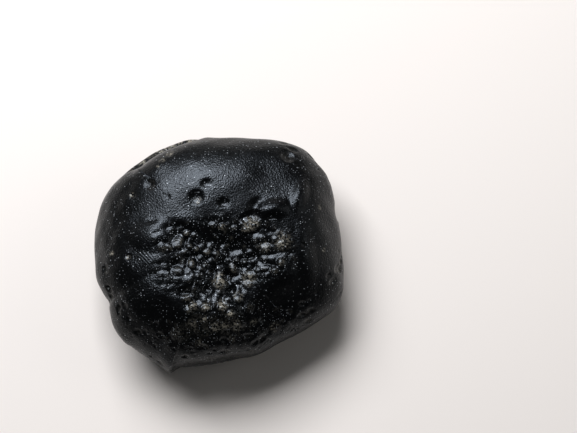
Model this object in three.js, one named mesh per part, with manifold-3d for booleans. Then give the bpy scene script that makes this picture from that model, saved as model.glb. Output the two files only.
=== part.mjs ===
// A tektite: one palm-sized lump of natural black glass, thrown out molten by a meteorite impact.
// It is a flattened pebble with a broad pitted hollow in its top, a steep wall on its right side,
// a ledge on its upper left edge, and a small worn flat underneath on which it rests.
// Millimetres. X is the long way across, Y runs from the sharp tip to the far edge, Z is up.
// The origin is in the middle of the stone's outline, on the surface it rests on.

import * as THREE from 'three';
import { mergeVertices } from 'three/addons/utils/BufferGeometryUtils.js';
import Module from 'manifold-3d';

// ---- Driving dimensions ----
const WIDTH = 60;                 // along X
const DEPTH = 56.5;               // along Y
const HEIGHT = 27;                // along Z, from the worn flat to the highest ridge
const CROWN = 14.8;               // from the widest level up to the top, before the relief
const KEEL = 12;                  // from the worn flat up to the widest level
const BELLY = 12.9;               // how far the underside would reach without its worn flat
const CROWN_ROUNDNESS = 2.45;     // 2 is an ellipse, more is squarer at the shoulder
const BELLY_ROUNDNESS = 2.05;     // the same, for the underside
const EDGE_SHARPNESS = 11;        // how tightly one soft face turns into the next
const DETAIL = 19;                // the sphere that is shaped has 20 x (DETAIL + 1)^2 triangles
const GATHER = 0.6;               // how far its corners are drawn up, for finer triangles on the top
const PIT_DETAIL = 2;             // as DETAIL, for the lens that cuts a pit
const SMALL_PIT = 1.5;            // a pit of a smaller radius is cut with fewer triangles
const PIT_RISE = 0.35;            // how far the middle of that lens stands above the surface, of its height
const STEP_WIDTH = 2.2;           // how far up an edge's step the cut fades in
const SLIVER = 0.04;              // facets thinner than this are merged into their neighbours
const RELIEF_STARTS = 2;          // the level above the widest one where the top's relief fades in
const RELIEF_FULL = 9;            // and where it is whole
const GOLDEN_ANGLE = Math.PI * (3 - Math.sqrt(5));

// The outline seen from above, anticlockwise from the middle of the right side
const OUTLINE = [
  [29.9, 0], [29.8, 4.2], [28.5, 11.5], [27.4, 16.6], [26.4, 19.3], [23.6, 22.3], [20.8, 24.8],
  [17, 26.6], [12.5, 27.7], [7, 28], [1, 27.9], [-4.8, 28.1], [-8.4, 28], [-14.5, 25.5],
  [-18.5, 23.1], [-23, 19.7], [-27.4, 14.8], [-29.6, 8.8], [-30.3, 3.5], [-30, -1], [-29.2, -6.1],
  [-27.3, -9.8], [-26, -11.7], [-25.8, -13.8], [-24.7, -17.9], [-22.5, -21], [-20.2, -22.4],
  [-16.8, -24.8], [-14.8, -25.7], [-13.2, -27], [-11.4, -28.2], [-9.6, -27.3], [-5, -26.9],
  [0, -26.4], [5, -25.1], [10, -23.9], [15, -21.2], [20, -18.4], [25, -15.3], [28.3, -12.5],
  [29.9, -8.4], [30.1, -4],
];

// Soft flat faces worn on the body: bearing round from +X and rise, in degrees, and the
// distance from the middle of the widest level
const FACES = [
  { name: 'top', bearing: 100, rise: 86, distance: 14.1 },
  { name: 'right wall', bearing: 10, rise: 32, distance: 24.7 },
  { name: 'lower right slope', bearing: -47, rise: 52, distance: 20.4 },
  { name: 'lower left slope', bearing: -128, rise: 44, distance: 23.6 },
  { name: 'left slope', bearing: 176, rise: 40, distance: 24.2 },
  { name: 'under right', bearing: 25, rise: -42, distance: 23.4 },
  { name: 'under left', bearing: 205, rise: -38, distance: 23.9 },
];

// The top's lists are laid out as drawn from a little in front of straight above: the angle above
// level, the distance, and where the line of sight meets the plane through the stone's middle
const VIEW_RISE = 79;
const VIEW_DISTANCE = 360;
const VIEW_AXIS = [16.9, 9.2];

// Broad forms of the top: place, half lengths, turn in degrees, and height (minus is a hollow)
const TOP_FORMS = [
  { name: 'dome', at: [-1, 18.5], half: [13, 10.5], turn: 0, height: 1 },
  { name: 'hollow', at: [2, -3], half: [19, 12.5], turn: 0, height: -2.1 },
  { name: 'left shoulder', at: [-21, 9], half: [10, 15], turn: 0, height: -1.3 },
  { name: 'valley, upper right', at: [14.5, 19], half: [9.5, 9], turn: 0, height: -0.7 },
  { name: 'trough, left', at: [-10, 5.2], half: [7, 4], turn: -3, height: -0.6 },
  { name: 'swell, left', at: [-16.5, 4.8], half: [6.5, 5], turn: 0, height: 0.95 },
  { name: 'trough, middle', at: [-3.5, 4], half: [6, 3.6], turn: -14, height: -0.45 },
  { name: 'trough, centre', at: [3.5, 1.9], half: [6, 3.2], turn: -8, height: -0.7 },
  { name: 'shelf, left', at: [-5, -5], half: [6.5, 5], turn: 0, height: 0.75 },
  { name: 'shelf, right', at: [14.7, -4.4], half: [7, 5.5], turn: 0, height: 0.75 },
  { name: 'shelf, near', at: [1, -14], half: [9.5, 4.5], turn: 0, height: 0.35 },
  { name: 'bowl, upper right', at: [13, 6], half: [5.5, 3.4], turn: -10, height: -0.2 },
  { name: 'pocket under the crest', at: [8.6, 11.4], half: [3.2, 1.8], turn: 48, height: -0.45 },
  { name: 'dark slope, lower right', at: [14, -12.5], half: [9, 5], turn: 20, height: -1 },
  { name: 'right ridge, upper', at: [19.8, 14], half: [5.5, 2.6], turn: 78, height: 0.9 },
  { name: 'right ridge, lower', at: [21.3, -0.5], half: [11, 3], turn: 98, height: 0.7 },
  { name: 'crest', at: [13.4, 10.8], half: [4.8, 3], turn: 8, height: 1.1 },
];

// The lumps and short ridges of the pitted field, written as above
const LUMPS = [
  { at: [-9.6, 2.7], half: [2.75, 1.88], turn: 58, height: 0.72 },
  { at: [-11.9, 1.4], half: [1.75, 1.5], turn: 0, height: 0.6 },
  { at: [-13.8, 1], half: [2.5, 2], turn: 0, height: 0.6 },
  { at: [-6.9, 1.8], half: [1.5, 1.25], turn: 0, height: 0.54 },
  { at: [-5.4, 1.1], half: [1.62, 1.38], turn: 0, height: 0.54 },
  { at: [-7.9, 0.5], half: [1.25, 1.12], turn: 0, height: 0.48 },
  { at: [-2.8, 0.4], half: [1.75, 1.5], turn: 0, height: 0.66 },
  { at: [-0.5, 0.1], half: [1.5, 1.38], turn: 0, height: 0.6 },
  { at: [-4.3, -0.8], half: [1.25, 1.1], turn: 0, height: 0.36 },
  { at: [-6.5, -2.3], half: [1.62, 2], turn: 0, height: 0.72 },
  { at: [-3.1, -2.6], half: [1.25, 1.25], turn: 0, height: 0.48 },
  { at: [-9.8, -4], half: [1.88, 1.62], turn: 0, height: 0.66 },
  { at: [-4.8, -5.1], half: [1.5, 1.38], turn: 0, height: 0.48 },
  { at: [-5.4, -6.7], half: [1.38, 1.25], turn: 0, height: 0.36 },
  { at: [0.4, -6.3], half: [3.62, 2.12], turn: 88, height: 0.84 },
  { at: [0.3, -9], half: [1.38, 1.25], turn: 0, height: 0.48 },
  { at: [-7.8, 4.9], half: [1.5, 1.25], turn: 0, height: 0.84 },
  { at: [8.6, 6.6], half: [2.12, 1.75], turn: 20, height: 1.32 },
  { at: [6.6, 5.7], half: [1.75, 1.5], turn: 0, height: 1.08 },
  { at: [7.3, 8.2], half: [1.62, 1.25], turn: 0, height: 0.84 },
  { at: [0.8, 6.3], half: [1.62, 1.5], turn: 0, height: 0.96 },
  { at: [10.5, 3.8], half: [1.38, 1.25], turn: 0, height: 0.42 },
  { at: [11.5, 1.2], half: [2, 1.75], turn: 0, height: 0.54 },
  { at: [13.8, 3.5], half: [1.38, 1.25], turn: 0, height: 0.48 },
  { at: [15.5, 2.1], half: [2.88, 2], turn: 10, height: 0.6 },
  { at: [17.1, 3.1], half: [1.25, 1.12], turn: 0, height: 0.36 },
  { at: [18.3, 3.2], half: [2, 1.1], turn: 85, height: 0.36 },
  { at: [15.3, -2], half: [1.62, 1.88], turn: 0, height: 0.78 },
  { at: [13.6, -4.2], half: [1.75, 1.5], turn: 0, height: 0.72 },
  { at: [9.4, -3.9], half: [1.12, 1.12], turn: 0, height: 0.42 },
  { at: [3.5, -3.4], half: [2.38, 1.5], turn: -60, height: 0.72 },
  { at: [2.2, -1.4], half: [1.25, 1.12], turn: 0, height: 0.36 },
  { at: [6.3, -1.9], half: [1.25, 1.12], turn: 0, height: 0.48 },
  { at: [4.3, -1.5], half: [1.12, 1.1], turn: 0, height: 0.54 },
  { at: [7.8, -5], half: [1.62, 1.5], turn: 0, height: 0.6 },
  { at: [7.3, -7.2], half: [1.88, 1.5], turn: 30, height: 0.66 },
  { at: [7.2, 0.6], half: [1.38, 1.12], turn: 0, height: 0.3 },
  { at: [4.8, 0.4], half: [1.5, 1.12], turn: 0, height: 0.36 },
  { at: [11.2, -1], half: [1.5, 1.25], turn: 0, height: 0.42 },
  { at: [16, -6.6], half: [2.38, 1.5], turn: -32, height: 0.6 },
  { at: [18.3, -1.2], half: [1.88, 1.62], turn: 0, height: 0.6 },
  { at: [18.4, -4.2], half: [1.75, 1.5], turn: 0, height: 0.54 },
  { at: [-7.9, -10.6], half: [2.12, 1.62], turn: 0, height: 0.72 },
  { at: [-6.1, -12.6], half: [1.62, 1.38], turn: -30, height: 0.78 },
  { at: [-7.4, -13.9], half: [1.38, 1.25], turn: 0, height: 0.6 },
  { at: [-3.2, -13.2], half: [1.62, 1.38], turn: 0, height: 0.78 },
  { at: [1, -12.9], half: [1.75, 1.38], turn: -30, height: 0.84 },
  { at: [3.1, -14.5], half: [1.75, 1.62], turn: 0, height: 0.72 },
  { at: [5.4, -14.8], half: [1.12, 1.1], turn: 0, height: 0.36 },
  { at: [7.6, -12.7], half: [2.38, 1.5], turn: 55, height: 0.6 },
  { at: [1.6, -17.5], half: [1.88, 1.1], turn: 0, height: 0.42 },
  { at: [4.9, -10.9], half: [1.38, 1.25], turn: 0, height: 0.42 },
  { at: [13.8, -17.8], half: [1.12, 2.5], turn: -20, height: 0.36 },
  { at: [9.6, -18.1], half: [1.25, 1.12], turn: 0, height: 0.36 },
  { at: [-4, -18.8], half: [1.38, 1.12], turn: 0, height: 0.36 },
  { at: [-11.5, 7.6], half: [1.5, 1.25], turn: 0, height: 0.54 },
];

// Round pits with crisp rims, cut into the top: place, half lengths, turn and depth
const TOP_PITS = [
  { at: [-5.3, 13.4], half: [2.1, 1.9], turn: 0, depth: 0.55 },
  { at: [-2.8, 16.6], half: [1.7, 1.2], turn: 5, depth: 0.33 },
  { at: [-12.2, 13.6], half: [0.8, 0.8], turn: 0, depth: 0.2 },
  { at: [1.2, 12.1], half: [1.7, 1.2], turn: 0, depth: 0.4 },
  { at: [8, 8.9], half: [2.7, 1.7], turn: 20, depth: 0.9 },
  { at: [12.8, 8.9], half: [1.3, 0.9], turn: 0, depth: 0.4 },
  { at: [-16.2, 8.1], half: [1.9, 1.1], turn: 10, depth: 0.2 },
  { at: [-10.2, -2.2], half: [1.7, 1.4], turn: 0, depth: 0.25 },
  { at: [-8.6, -9], half: [1.9, 1.3], turn: 10, depth: 0.5 },
  { at: [2.9, -8.6], half: [1.7, 1.2], turn: 40, depth: 0.8 },
  { at: [7.8, -0.3], half: [1.2, 0.9], turn: 5, depth: 0.3 },
  { at: [1.8, -4.9], half: [0.7, 2], turn: 5, depth: 0.8 },
  { at: [-1.3, -4.4], half: [0.9, 2.4], turn: -5, depth: 0.8 },
  { at: [-8.2, 3], half: [0.6, 1.7], turn: -20, depth: 0.7 },
  { at: [-3.4, -8.3], half: [1.8, 1.2], turn: 10, depth: 0.6 },
  { at: [-20.9, 14.1], half: [0.8, 0.8], turn: 0, depth: 0.3 },
  { at: [-21.8, -0.6], half: [0.8, 0.8], turn: 0, depth: 0.3 },
];

// Pits scattered over the sides and the underside, on a spiral from the side wall downwards
const SIDE_PITS = { count: 22, highest: 0.55, lowest: -0.93, smallest: 0.8, largest: 2.2, depth: 0.42 };

// Chips and steps on the edge: bearing and half width in degrees, the levels between which the
// edge is cut back (from the widest level), and how far back
const LEDGES = [
  { name: 'upper left ledge', bearing: 119, half: 24, from: 0.4, to: 10, back: 1.6 },
  { name: 'lip under the near edge', bearing: 265, half: 22, from: -2.2, to: 9, back: 0.7 },
  { name: 'step, upper right', bearing: 38, half: 7, from: -3, to: 4, back: 0.6 },
];

// ---- Shape of the body ----

const UP = new THREE.Vector3(0, 0, 1);
const radians = THREE.MathUtils.degToRad;
const { smoothstep } = THREE.MathUtils;

function outlineTable(points) {
  const corners = points.map(([x, y]) => new THREE.Vector3(x, y, 0));
  const curve = new THREE.CatmullRomCurve3(corners, true, 'catmullrom');
  const table = curve.getPoints(720).map((point) => ({
    angle: (Math.atan2(point.y, point.x) + 2 * Math.PI) % (2 * Math.PI),
    radius: Math.hypot(point.x, point.y),
  }));
  table.sort((one, other) => one.angle - other.angle);
  const first = table[0];
  const last = table[table.length - 1];
  table.unshift({ angle: last.angle - 2 * Math.PI, radius: last.radius });
  table.push({ angle: first.angle + 2 * Math.PI, radius: first.radius });
  return table;
}

const OUTLINE_TABLE = outlineTable(OUTLINE);

function outlineRadius(x, y) {
  const angle = (Math.atan2(y, x) + 2 * Math.PI) % (2 * Math.PI);
  const after = OUTLINE_TABLE.findIndex((entry) => entry.angle >= angle);
  const low = OUTLINE_TABLE[Math.max(after - 1, 0)];
  const high = OUTLINE_TABLE[Math.max(after, 1)];
  const share = (angle - low.angle) / Math.max(high.angle - low.angle, 1e-9);
  return THREE.MathUtils.lerp(low.radius, high.radius, share);
}

function faceNormal({ bearing, rise }) {
  const flat = Math.cos(radians(rise));
  return new THREE.Vector3(
    flat * Math.cos(radians(bearing)),
    flat * Math.sin(radians(bearing)),
    Math.sin(radians(rise)),
  );
}

// Distance from the middle to the surface along a direction: a rounded body of the outline's
// plan, and the soft faces, joined as a high power mean so that each edge between them is round
function bodyReach(direction) {
  const above = direction.z > 0;
  const power = above ? CROWN_ROUNDNESS : BELLY_ROUNDNESS;
  const plan = Math.hypot(direction.x, direction.y) / outlineRadius(direction.x, direction.y);
  const tall = Math.abs(direction.z) / (above ? CROWN : BELLY);
  const round = (plan ** power + tall ** power) ** (1 / power);
  let sum = round ** EDGE_SHARPNESS;
  for (const face of FACES) {
    const facing = direction.dot(faceNormal(face)) / face.distance;
    if (facing > 0) sum += facing ** EDGE_SHARPNESS;
  }
  return sum ** (-1 / EDGE_SHARPNESS);
}

// A point of the body along a direction, stretched in plan so that the widest level has the
// outline exactly
function bodyPoint(direction) {
  const level = new THREE.Vector3(direction.x, direction.y, 0).normalize();
  const stretch = outlineRadius(level.x, level.y) / bodyReach(level);
  const point = direction.clone().multiplyScalar(bodyReach(direction));
  return point.multiply(new THREE.Vector3(stretch, stretch, 1));
}

// Where a point of the top lies as drawn, on the plane through the stone's middle: a point that is
// n nearer than this plane is drawn distance / (distance - n) as far from the line of sight
function drawnPlace({ x, y, z }) {
  const sin = Math.sin(radians(VIEW_RISE));
  const cos = Math.cos(radians(VIEW_RISE));
  const spread = VIEW_DISTANCE / (VIEW_DISTANCE - (z * sin - y * cos));
  const above = y * sin + z * cos;
  return [
    VIEW_AXIS[0] + (x - VIEW_AXIS[0]) * spread,
    VIEW_AXIS[1] + (above - VIEW_AXIS[1]) * spread,
  ];
}

// A smooth mound or hollow on the top, one at its middle and nothing at its edge
function mound(x, y, { at, half, turn }) {
  const cos = Math.cos(radians(turn));
  const sin = Math.sin(radians(turn));
  const along = ((x - at[0]) * cos + (y - at[1]) * sin) / half[0];
  const across = ((y - at[1]) * cos - (x - at[0]) * sin) / half[1];
  const distance = along * along + across * across;
  return distance < 1 ? (1 - distance) ** 2 : 0;
}

// The forms add up; where lumps meet, the higher one stands
function topRelief(point) {
  const [x, y] = drawnPlace(point);
  let relief = 0;
  for (const form of TOP_FORMS) relief += form.height * mound(x, y, form);
  let highest = 0;
  for (const lump of LUMPS) highest = Math.max(highest, lump.height * mound(x, y, lump));
  return relief + highest;
}

// Slow unevenness of the whole surface, from three crossed waves
function unevenness({ x, y, z }) {
  return 0.14 * Math.sin(0.31 * x + 1.3) * Math.sin(0.27 * y + 0.4)
    + 0.05 * Math.sin(0.83 * y - 0.5 * z) * Math.sin(0.71 * x + 0.6 * z + 2)
    + 0.06 * Math.sin(0.9 * z + 0.3 * x) * Math.sin(0.6 * y + 0.5 * x);
}

function edgeCut(point) {
  const angle = THREE.MathUtils.radToDeg(Math.atan2(point.y, point.x));
  let cut = 0;
  for (const ledge of LEDGES) {
    const away = Math.abs(((angle - ledge.bearing + 540) % 360) - 180);
    const beside = 1 - smoothstep(away, 0.5 * ledge.half, ledge.half);
    const above = smoothstep(point.z, ledge.from, ledge.from + STEP_WIDTH);
    const below = 1 - smoothstep(point.z, ledge.from + STEP_WIDTH, ledge.to);
    cut += ledge.back * beside * above * below;
  }
  return cut;
}

function shapeBody() {
  const sphere = new THREE.IcosahedronGeometry(1, DETAIL);
  const place = sphere.attributes.position;
  const direction = new THREE.Vector3();
  for (let index = 0; index < place.count; index += 1) {
    direction.fromBufferAttribute(place, index);
    direction.addScaledVector(UP, GATHER).normalize();
    const point = bodyPoint(direction);
    const outward = unevenness(point) - edgeCut(point);
    point.addScaledVector(direction, outward);
    point.z += topRelief(point) * smoothstep(point.z, RELIEF_STARTS, RELIEF_FULL);
    place.setXYZ(index, point.x, point.y, point.z + KEEL);
  }
  return sphere;
}

// ---- Cuts ----

const wasm = await Module();
wasm.setup();

function toSolid(geometry) {
  geometry.deleteAttribute('normal');
  geometry.deleteAttribute('uv');
  const merged = mergeVertices(geometry, 1e-4);
  return new wasm.Manifold(new wasm.Mesh({
    numProp: 3,
    vertProperties: new Float32Array(merged.attributes.position.array),
    triVerts: new Uint32Array(merged.index.array),
  }));
}

function toGeometry(solid) {
  const mesh = solid.getMesh();
  const geometry = new THREE.BufferGeometry();
  geometry.setAttribute('position', new THREE.BufferAttribute(mesh.vertProperties, 3));
  geometry.setIndex(new THREE.BufferAttribute(mesh.triVerts, 1));
  geometry.computeVertexNormals();
  return geometry;
}

// A lens whose lower half dips below a surface at the given point, longer one way than the other
function pitCutter({ point, outward }, { half, depth, turn }) {
  const small = Math.max(...half) < SMALL_PIT;
  const lens = new THREE.IcosahedronGeometry(1, small ? PIT_DETAIL - 1 : PIT_DETAIL);
  const spread = 1 / Math.sqrt(1 - PIT_RISE * PIT_RISE);
  const height = depth / (1 - PIT_RISE);
  lens.scale(spread * half[0], spread * half[1], height);
  lens.rotateZ(radians(turn));
  lens.applyQuaternion(new THREE.Quaternion().setFromUnitVectors(UP, outward));
  const middle = point.clone().addScaledVector(outward, height * PIT_RISE);
  lens.translate(middle.x, middle.y, middle.z);
  return toSolid(lens);
}

// Finds where a ray meets the shaped body, and which way the body faces there
function surfaceFinder(geometry) {
  const target = new THREE.Mesh(geometry, new THREE.MeshBasicMaterial({ side: THREE.DoubleSide }));
  const caster = new THREE.Raycaster();
  return (origin, towards) => {
    caster.set(origin, towards);
    const hit = caster.intersectObject(target)[0];
    return { point: hit.point, outward: hit.face.normal.clone() };
  };
}

// A place of the drawing as a point of the plane through the stone's middle
function planePoint([x, above]) {
  const rise = radians(VIEW_RISE);
  return new THREE.Vector3(x, above * Math.sin(rise), above * Math.cos(rise) + KEEL);
}

function cutPits(body, geometry) {
  const find = surfaceFinder(geometry);
  const rise = radians(VIEW_RISE);
  const back = new THREE.Vector3(0, -Math.cos(rise), Math.sin(rise));
  const eye = planePoint(VIEW_AXIS).addScaledVector(back, VIEW_DISTANCE);
  let solid = body;
  for (const pit of TOP_PITS) {
    const sight = planePoint(pit.at).sub(eye).normalize();
    solid = solid.subtract(pitCutter(find(eye, sight), pit));
  }
  return solid;
}

function cutSidePits(body, geometry) {
  const find = surfaceFinder(geometry);
  const { count, highest, lowest, smallest, largest, depth } = SIDE_PITS;
  let solid = body;
  for (let index = 0; index < count; index += 1) {
    const height = THREE.MathUtils.lerp(highest, lowest, (index + 0.5) / count);
    const flat = Math.sqrt(1 - height * height);
    const angle = index * GOLDEN_ANGLE;
    const outwards = new THREE.Vector3(flat * Math.cos(angle), flat * Math.sin(angle), height);
    const origin = outwards.clone().multiplyScalar(WIDTH);
    origin.z += KEEL;
    const radius = THREE.MathUtils.lerp(smallest, largest, ((index * 0.618034) % 1) ** 2);
    const long = 1 + 0.4 * ((index * 0.37) % 1);
    const pit = { half: [radius * long, radius], depth: depth * radius, turn: 77 * index };
    solid = solid.subtract(pitCutter(find(origin, outwards.negate()), pit));
  }
  return solid;
}

function wearFlat(body) {
  const below = new THREE.BoxGeometry(2 * WIDTH, 2 * WIDTH, 20);
  below.translate(0, 0, -10);
  return body.subtract(toSolid(below));
}

// ---- The stone ----

function makeTektite() {
  const shaped = shapeBody();
  let solid = cutPits(toSolid(shaped.clone()), shaped);
  solid = cutSidePits(solid, shaped);
  solid = wearFlat(solid).asOriginal().simplify(SLIVER);
  const geometry = toGeometry(solid);
  geometry.computeBoundingBox();
  const middle = geometry.boundingBox.getCenter(new THREE.Vector3());
  const size = geometry.boundingBox.getSize(new THREE.Vector3());
  geometry.translate(-middle.x, -middle.y, -geometry.boundingBox.min.z);
  geometry.scale(WIDTH / size.x, DEPTH / size.y, HEIGHT / size.z);
  const glass = new THREE.MeshStandardMaterial({ color: 0x17181a, roughness: 0.42, metalness: 0 });
  const stone = new THREE.Mesh(geometry, glass);
  stone.name = 'tektite';
  return stone;
}

const model = new THREE.Group();
model.add(makeTektite());

export default model;
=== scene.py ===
"""A tektite, a palm-sized lump of black natural glass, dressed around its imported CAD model.

The stone is one closed surface worked out with numpy: a rounded body cut by soft flat faces, with
a pitted hollow in its top, ledges in its edge, and pits round its sides and underneath. Its sizes
and places are in millimetres, with the origin in the middle of the widest level, X to the right
and Y away. Those of the stage are in metres.
"""

import math

import bpy
import numpy as np
from bpy.props import FloatProperty, FloatVectorProperty, IntProperty, PointerProperty
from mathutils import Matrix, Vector


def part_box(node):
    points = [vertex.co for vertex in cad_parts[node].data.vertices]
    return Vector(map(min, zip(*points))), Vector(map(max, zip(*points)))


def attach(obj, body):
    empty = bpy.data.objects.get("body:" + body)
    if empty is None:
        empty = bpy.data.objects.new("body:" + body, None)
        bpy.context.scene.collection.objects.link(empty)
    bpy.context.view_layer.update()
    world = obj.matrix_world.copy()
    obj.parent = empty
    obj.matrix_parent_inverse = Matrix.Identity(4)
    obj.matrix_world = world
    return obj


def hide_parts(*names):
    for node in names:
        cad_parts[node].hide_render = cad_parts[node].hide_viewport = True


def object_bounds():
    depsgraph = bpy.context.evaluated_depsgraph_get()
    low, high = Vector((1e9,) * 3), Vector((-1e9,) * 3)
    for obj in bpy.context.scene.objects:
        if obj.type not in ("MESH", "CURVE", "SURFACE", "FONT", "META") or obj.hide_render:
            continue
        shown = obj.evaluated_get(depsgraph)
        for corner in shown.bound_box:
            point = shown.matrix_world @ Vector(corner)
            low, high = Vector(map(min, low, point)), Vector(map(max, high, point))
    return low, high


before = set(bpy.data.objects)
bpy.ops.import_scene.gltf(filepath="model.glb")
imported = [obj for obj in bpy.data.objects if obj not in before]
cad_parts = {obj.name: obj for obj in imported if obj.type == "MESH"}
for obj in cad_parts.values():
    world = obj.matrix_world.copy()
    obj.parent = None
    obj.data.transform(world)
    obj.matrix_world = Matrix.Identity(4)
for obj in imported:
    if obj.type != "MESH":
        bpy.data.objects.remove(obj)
CAD_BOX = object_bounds()
STONE_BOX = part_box("tektite")

bl_info = {
    "name": "Tektite",
    "version": (1, 0, 0),
    "blender": (4, 5, 0),
    "location": "3D View > Sidebar > Tektite",
    "description": "A black natural glass pebble with a pitted hollow",
    "category": "Add Mesh",
}

MM = 0.001
SEED = 11

# ---- The body: sizes that the relief is drawn on ----

HALF_BREADTH = 30        # of the ellipsoid that spreads the grid's points evenly
CROWN = 14.8             # from the widest level up to the top, before the relief
KEEL = 12.0              # from the worn flat up to the widest level
BELLY = 12.9             # how far the underside would reach without its worn flat
CROWN_ROUNDNESS = 2.45   # 2 is an ellipse, more is squarer at the shoulder
BELLY_ROUNDNESS = 2.05
EDGE_SHARPNESS = 11      # how tightly one soft face turns into the next
CLOSER_IN_MIDDLE = 0.5   # below 1 draws the grid closer together around the middle of each half

# The top's lists are laid out as seen by an eye in front of straight above: its angle above level,
# how far away it is, and where its line of sight meets the plane through the stone's middle
VIEW_RISE = math.radians(79)
VIEW_DISTANCE = 360
VIEW_AXIS = (16.9, 9.2)

# The outline seen from above, anticlockwise from the middle of the right side
OUTLINE = [
    (29.9, 0), (29.8, 4.2), (28.5, 11.5), (27.4, 16.6), (26.4, 19.3), (23.6, 22.3), (20.8, 24.8),
    (17, 26.6), (12.5, 27.7), (7, 28), (1, 27.9), (-4.8, 28.1), (-8.4, 28), (-14.5, 25.5),
    (-18.5, 23.1), (-23, 19.7), (-27.4, 14.8), (-29.6, 8.8), (-30.3, 3.5), (-30, -1), (-29.2, -6.1),
    (-27.3, -9.8), (-26, -11.7), (-25.8, -13.8), (-24.7, -17.9), (-22.5, -21), (-20.2, -22.4),
    (-16.8, -24.8), (-14.8, -25.7), (-13.2, -27), (-11.4, -28.2), (-9.6, -27.3), (-5, -26.9),
    (0, -26.4), (5, -25.1), (10, -23.9), (15, -21.2), (20, -18.4), (25, -15.3), (28.3, -12.5),
    (29.9, -8.4), (30.1, -4),
]
OUTLINE_STEPS = 24       # points on each span of the curve through them

# Soft flat faces: bearing round from +X, rise above level, distance from the middle
FACES = {
    "top": (100, 86, 14.1),
    "right wall": (10, 32, 24.7),
    "lower right slope": (-47, 52, 20.4),
    "lower left slope": (-128, 44, 23.6),
    "left slope": (176, 40, 24.2),
    "under right": (25, -42, 23.4),
    "under left": (205, -38, 23.9),
}

# Slow waves over the whole stone: height, then the rates along X, Y and Z and the offset, in
# radians, of the two waves that multiply
WAVES = [
    (0.14, (0.31, 0, 0, 1.3), (0, 0.27, 0, 0.4)),
    (0.05, (0, 0.83, -0.5, 0), (0.71, 0, 0.6, 2)),
    (0.06, (0.3, 0, 0.9, 0), (0.5, 0.6, 0, 0)),
]

# The levels between which the relief of the top fades in, above the stone's edge
RELIEF_LEVELS = (2, 9)

# Broad forms of the top: place, half lengths, turn in degrees, height
TOP_FORMS = {
    "dome": ((-1, 18.5), (13, 10.5), 0, 1.0),
    "hollow": ((2.0, -3.0), (19, 12.5), 0, -2.1),
    "left shoulder": ((-21, 9), (10, 15), 0, -1.3),
    "valley, upper right": ((14.5, 19), (9.5, 9), 0, -0.7),
    "trough, left": ((-10, 5.2), (7, 4), -3, -0.6),
    "swell, left": ((-16.5, 4.8), (6.5, 5), 0, 0.95),
    "trough, middle": ((-3.5, 4), (6, 3.6), -14, -0.45),
    "trough, centre": ((3.5, 1.9), (6, 3.2), -8, -0.7),
    "shelf, left": ((-5, -5), (6.5, 5), 0, 0.75),
    "shelf, right": ((14.7, -4.4), (7, 5.5), 0, 0.75),
    "shelf, near": ((1, -14), (9.5, 4.5), 0, 0.35),
    "bowl, upper right": ((13, 6), (5.5, 3.4), -10, -0.2),
    "pocket under the crest": ((8.6, 11.4), (3.2, 1.8), 48, -0.45),
    "dark slope, lower right": ((14, -12.5), (9, 5), 20, -1.0),
    "right ridge, upper": ((19.8, 14), (5.5, 2.6), 78, 0.9),
    "right ridge, lower": ((21.3, -0.5), (11, 3), 98, 0.7),
    "crest": ((13.4, 10.8), (4.8, 3.0), 8, 1.1),
}

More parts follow.
